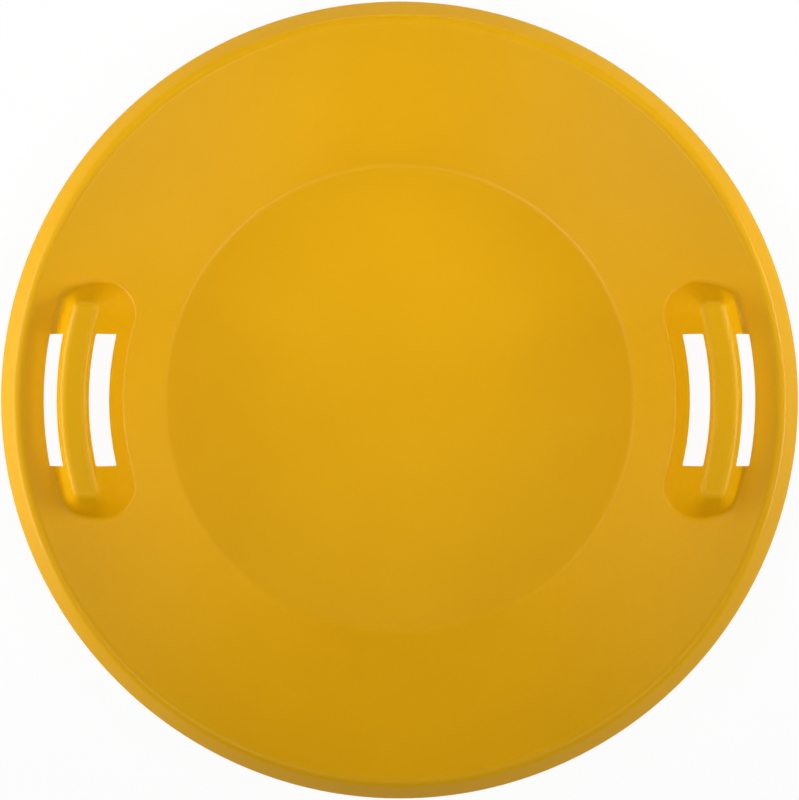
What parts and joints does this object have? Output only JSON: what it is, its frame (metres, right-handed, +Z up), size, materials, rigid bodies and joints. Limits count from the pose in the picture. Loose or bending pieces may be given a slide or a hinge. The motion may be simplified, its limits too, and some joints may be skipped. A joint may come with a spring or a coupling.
{
  "type": "saucer sled",
  "caption": "Round moulded plastic snow saucer with a flat seat, a flared wall, a rolled rim and a hollow raised handle with finger windows on each side.",
  "frame": {"origin": "middle of the seat's underside, on the snow", "axes": "+Z up, X through both handles, Y fore and aft"},
  "size_m": [0.635, 0.635, 0.074],
  "materials": {
    "shell": "glossy moulded polyethylene, amber yellow"
  },
  "bodies": {
    "root": {"seat_floor": "shell", "front_wall": "shell", "rear_wall": "shell", "rolled_rim": "shell", "left_handle_riser": "shell", "right_handle_riser": "shell", "left_grip_bar": "shell", "right_grip_bar": "shell"}
  },
  "joints": []
}
